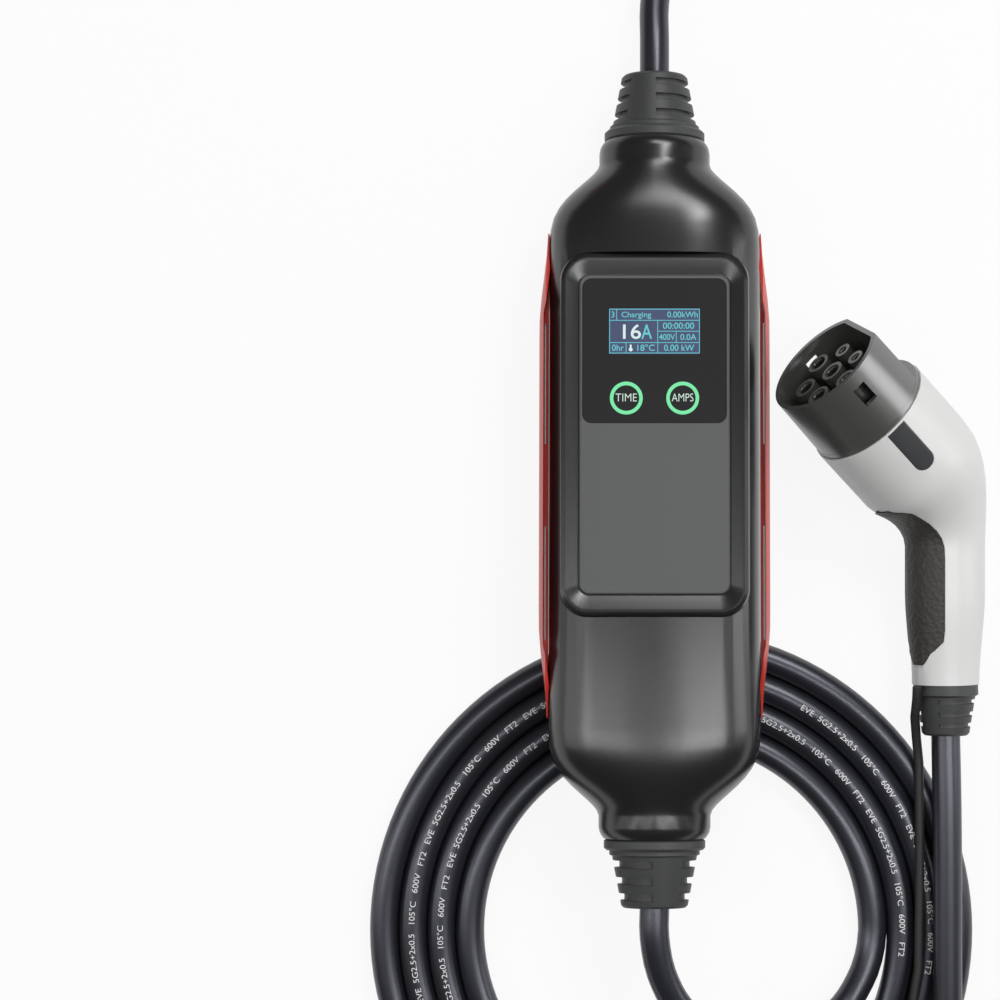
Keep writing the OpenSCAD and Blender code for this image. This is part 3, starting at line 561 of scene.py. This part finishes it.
# %% Large figures and thermometer
BULB = (-10.3, -8.0)
BULB_R = 0.85
BULB_SIDES = 20
STEM_HALF = 0.4
STEM_TOP = -5.9
FIGURES = (-10.6, -0.6)
FIGURE_CAP = 6.5
bm = bmesh.new()
add_words(bm, "16", DISPLAY_X + FIGURES[0], DISPLAY_Y + FIGURES[1], DISPLAY_Z, FIGURE_CAP,
          narrow=1.12, bold=0.012)
bulb_x, bulb_y = DISPLAY_X + BULB[0], DISPLAY_Y + BULB[1]
bulb = Matrix.Translation((bulb_x, bulb_y, DISPLAY_Z + BAR_THICK))
bmesh.ops.create_circle(bm, cap_ends=True, segments=BULB_SIDES, radius=BULB_R, matrix=bulb)
add_bar(bm, bulb_x - STEM_HALF, bulb_y, bulb_x + STEM_HALF, DISPLAY_Y + STEM_TOP, DISPLAY_Z)
face_piece("display_reading", reading_light, bm)

# %% [markdown]
# ## Key labels
# Each touch key has its word inside the lit ring, printed under the window and lit from behind. The
# letters lie a hair above the window, so that no two faces share one plane and flicker.

# %% Key labels
KEY_X, KEY_Y = 12.2, 36.95
LABEL_Z = FACE + 0.03
LABEL_CAP = 3.7
# Thinned a little, because lit letters look heavier than they are.
LABEL_BOLD = -0.012
bm = bmesh.new()
add_words(bm, "TIME", -KEY_X, KEY_Y, LABEL_Z, LABEL_CAP, narrow=0.88, bold=LABEL_BOLD)
add_words(bm, "AMPS", KEY_X, KEY_Y, LABEL_Z, LABEL_CAP, narrow=0.78, bold=LABEL_BOLD)
face_piece("key_labels", label_light, bm)

# %% [markdown]
# ## Ratings on the cord
# A cable carries its ratings in small white print, over and over. Letters bent round the sheath
# would sink into its facets, so each word is bent only along the turn and lies flat on the cord's
# top line, just clear of it.

# %% Cord print
RATING = "EVE  5G2.5+2x0.5   105°C   600V   FT2   "
PRINT_CAP = 2.7
PRINT_WIDTH = 1.15
PRINT_CLEAR = 0.04
# The turn that carries a rating, the angle at which it starts, and how often it is repeated.
PRINTS = [(1, 204, 3), (2, 196, 3), (1, 72, 2), (2, 60, 2)]
bm = bmesh.new()
for lane, start, times in PRINTS:
    mesh = word_mesh(RATING * times, PRINT_CAP, "LEFT", PRINT_WIDTH, 0.0)
    for v in mesh.vertices:
        a = math.radians(start) - v.co.x / LANES[lane]
        out = Vector((math.cos(a), math.sin(a), 0)) * (LANES[lane] + v.co.y)
        v.co = (COIL + out + Vector((0, 0, CORD_R + PRINT_CLEAR))) * MM
    bm.from_mesh(mesh)
    bpy.data.meshes.remove(mesh)
mark_piece("cord_print", sheath_print, bm)

# %% [markdown]
# ## The floor
# A product picture stands on white, with a soft shadow. More light on the floor would also flood
# the object. So the floor looks white only to rays from the camera, from reflections and through
# clear pieces; to all others it is plain paint. A tenth of the paint stays visible and holds the
# shadow.

# %% Floor
WHITE_SHARE = 0.9
FLOOR_HALF = 6
# The floor lies a little below the part, so that no two faces share a plane.
FLOOR_DROP = 0.5
floor_paint = bpy.data.materials.new("white studio paint")
floor_paint.use_nodes = True
tree = floor_paint.node_tree
tree.nodes.clear()
ray = add_node(tree, "ShaderNodeLightPath")
mirror_ray = add_node(tree, "ShaderNodeMath", {"operation": "MAXIMUM"},
                      {0: ray.outputs["Is Camera Ray"], 1: ray.outputs["Is Glossy Ray"]})
seen_ray = add_node(tree, "ShaderNodeMath", {"operation": "MAXIMUM"},
                    {0: mirror_ray.outputs[0], 1: ray.outputs["Is Transmission Ray"]})
share = add_node(tree, "ShaderNodeMath", {"operation": "MULTIPLY", 1: WHITE_SHARE},
                 {0: seen_ray.outputs[0]})
seen = add_node(tree, "ShaderNodeEmission", {"Color": linear("#ffffff"), "Strength": 1.0})
painted = add_node(tree, "ShaderNodeBsdfDiffuse", {"Color": linear("#e7e7e7")})
both = add_node(tree, "ShaderNodeMixShader", None,
                {"Fac": share.outputs[0], 1: painted.outputs[0], 2: seen.outputs[0]})
add_node(tree, "ShaderNodeOutputMaterial", None, {"Surface": both.outputs[0]})
bm = bmesh.new()
bmesh.ops.create_grid(bm, x_segments=1, y_segments=1, size=FLOOR_HALF)
bmesh.ops.translate(bm, verts=bm.verts, vec=(0, 0, -FLOOR_DROP * MM))
mesh = bpy.data.meshes.new("floor")
bm.to_mesh(mesh)
bm.free()
mesh.materials.append(floor_paint)
floor = bpy.data.objects.new("floor", mesh)
bpy.context.scene.collection.objects.link(floor)
floor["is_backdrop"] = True
print("floor side, m:", 2 * FLOOR_HALF)

# %% [markdown]
# ## Camera
# The object lies flat and is seen from straight above. A long lens from well over a metre keeps
# the sides of the box nearly hidden. The object isn't centred in the picture; turning the camera
# would slant its upright lines, so the lens is shifted instead.

# %% Camera
CAMERA_HEIGHT = 1.4
SENSOR = 36
LENS = 111.3
SHIFT_X, SHIFT_Y = -0.1545, -0.012
camera = bpy.data.objects.new("camera", bpy.data.cameras.new("camera"))
camera.location = (0, 0, CAMERA_HEIGHT)
camera.data.sensor_width = SENSOR
camera.data.lens = LENS
camera.data.shift_x = SHIFT_X
camera.data.shift_y = SHIFT_Y
bpy.context.scene.collection.objects.link(camera)
bpy.context.scene.camera = camera
print("lens, mm:", round(camera.data.lens, 1))

# %% [markdown]
# ## Light
# Black plastic shows its shape only by what it mirrors, so each lamp is placed for one highlight:
# two long strips draw the bands along the box and a short one goes on along its neck, a box at the
# far end lights the shoulder, a low lamp at the right silvers the connector's sleeve, and one at
# the left picks out the red guard. A sky texture would light it evenly and flatten it, so the world
# only fills the shadows.

# %% Lamps and world
WORLD_STRENGTH = 0.1


def area_light(name, place, target, width, length, watts):
    """A flat rectangular lamp that faces a target."""
    data = bpy.data.lights.new(name, "AREA")
    data.shape = "RECTANGLE"
    data.size, data.size_y = width, length
    data.energy = watts
    lamp = bpy.data.objects.new(name, data)
    lamp.location = place
    lamp.rotation_mode = "QUATERNION"
    lamp.rotation_quaternion = (Vector(target) - Vector(place)).to_track_quat("-Z", "Y")
    bpy.context.scene.collection.objects.link(lamp)


area_light("left strip", (-0.52, -0.1, 1.15), (0, -0.1, 0.05), 0.12, 1.0, 3.2)
area_light("right strip", (0.54, -0.1, 1.15), (0, -0.1, 0.05), 0.15, 1.0, 5.6)
area_light("neck strip", (0.45, 0.66, 1.15), (0, 0.15, 0.05), 0.16, 0.34, 2.4)
area_light("far box", (0.35, 1.0, 1.2), (0, 0, 0.05), 0.9, 0.45, 8.5)
area_light("right lamp", (1.3, 0.1, 0.4), (0.1, 0.06, 0.05), 0.55, 0.7, 3.8)
area_light("left lamp", (-1.2, -0.1, 0.7), (0, 0, 0.05), 0.4, 1.2, 2.8)
world = bpy.data.worlds.new("world")
world.use_nodes = True
sky = world.node_tree.nodes["Background"]
sky.inputs["Color"].default_value = linear("#ffffff")
sky.inputs["Strength"].default_value = WORLD_STRENGTH
bpy.context.scene.world = world
bpy.context.scene.view_settings.view_transform = "Standard"
print("lamps:", len(bpy.data.lights))

# %% [markdown]
# ## Sizes and finish
# Dressing may not make the part grow. The box around all that is shown, the floor aside, is
# measured and its size printed.

# %% Finish
low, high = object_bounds()
print("size:", [round(h - l, 4) for l, h in zip(low, high)])
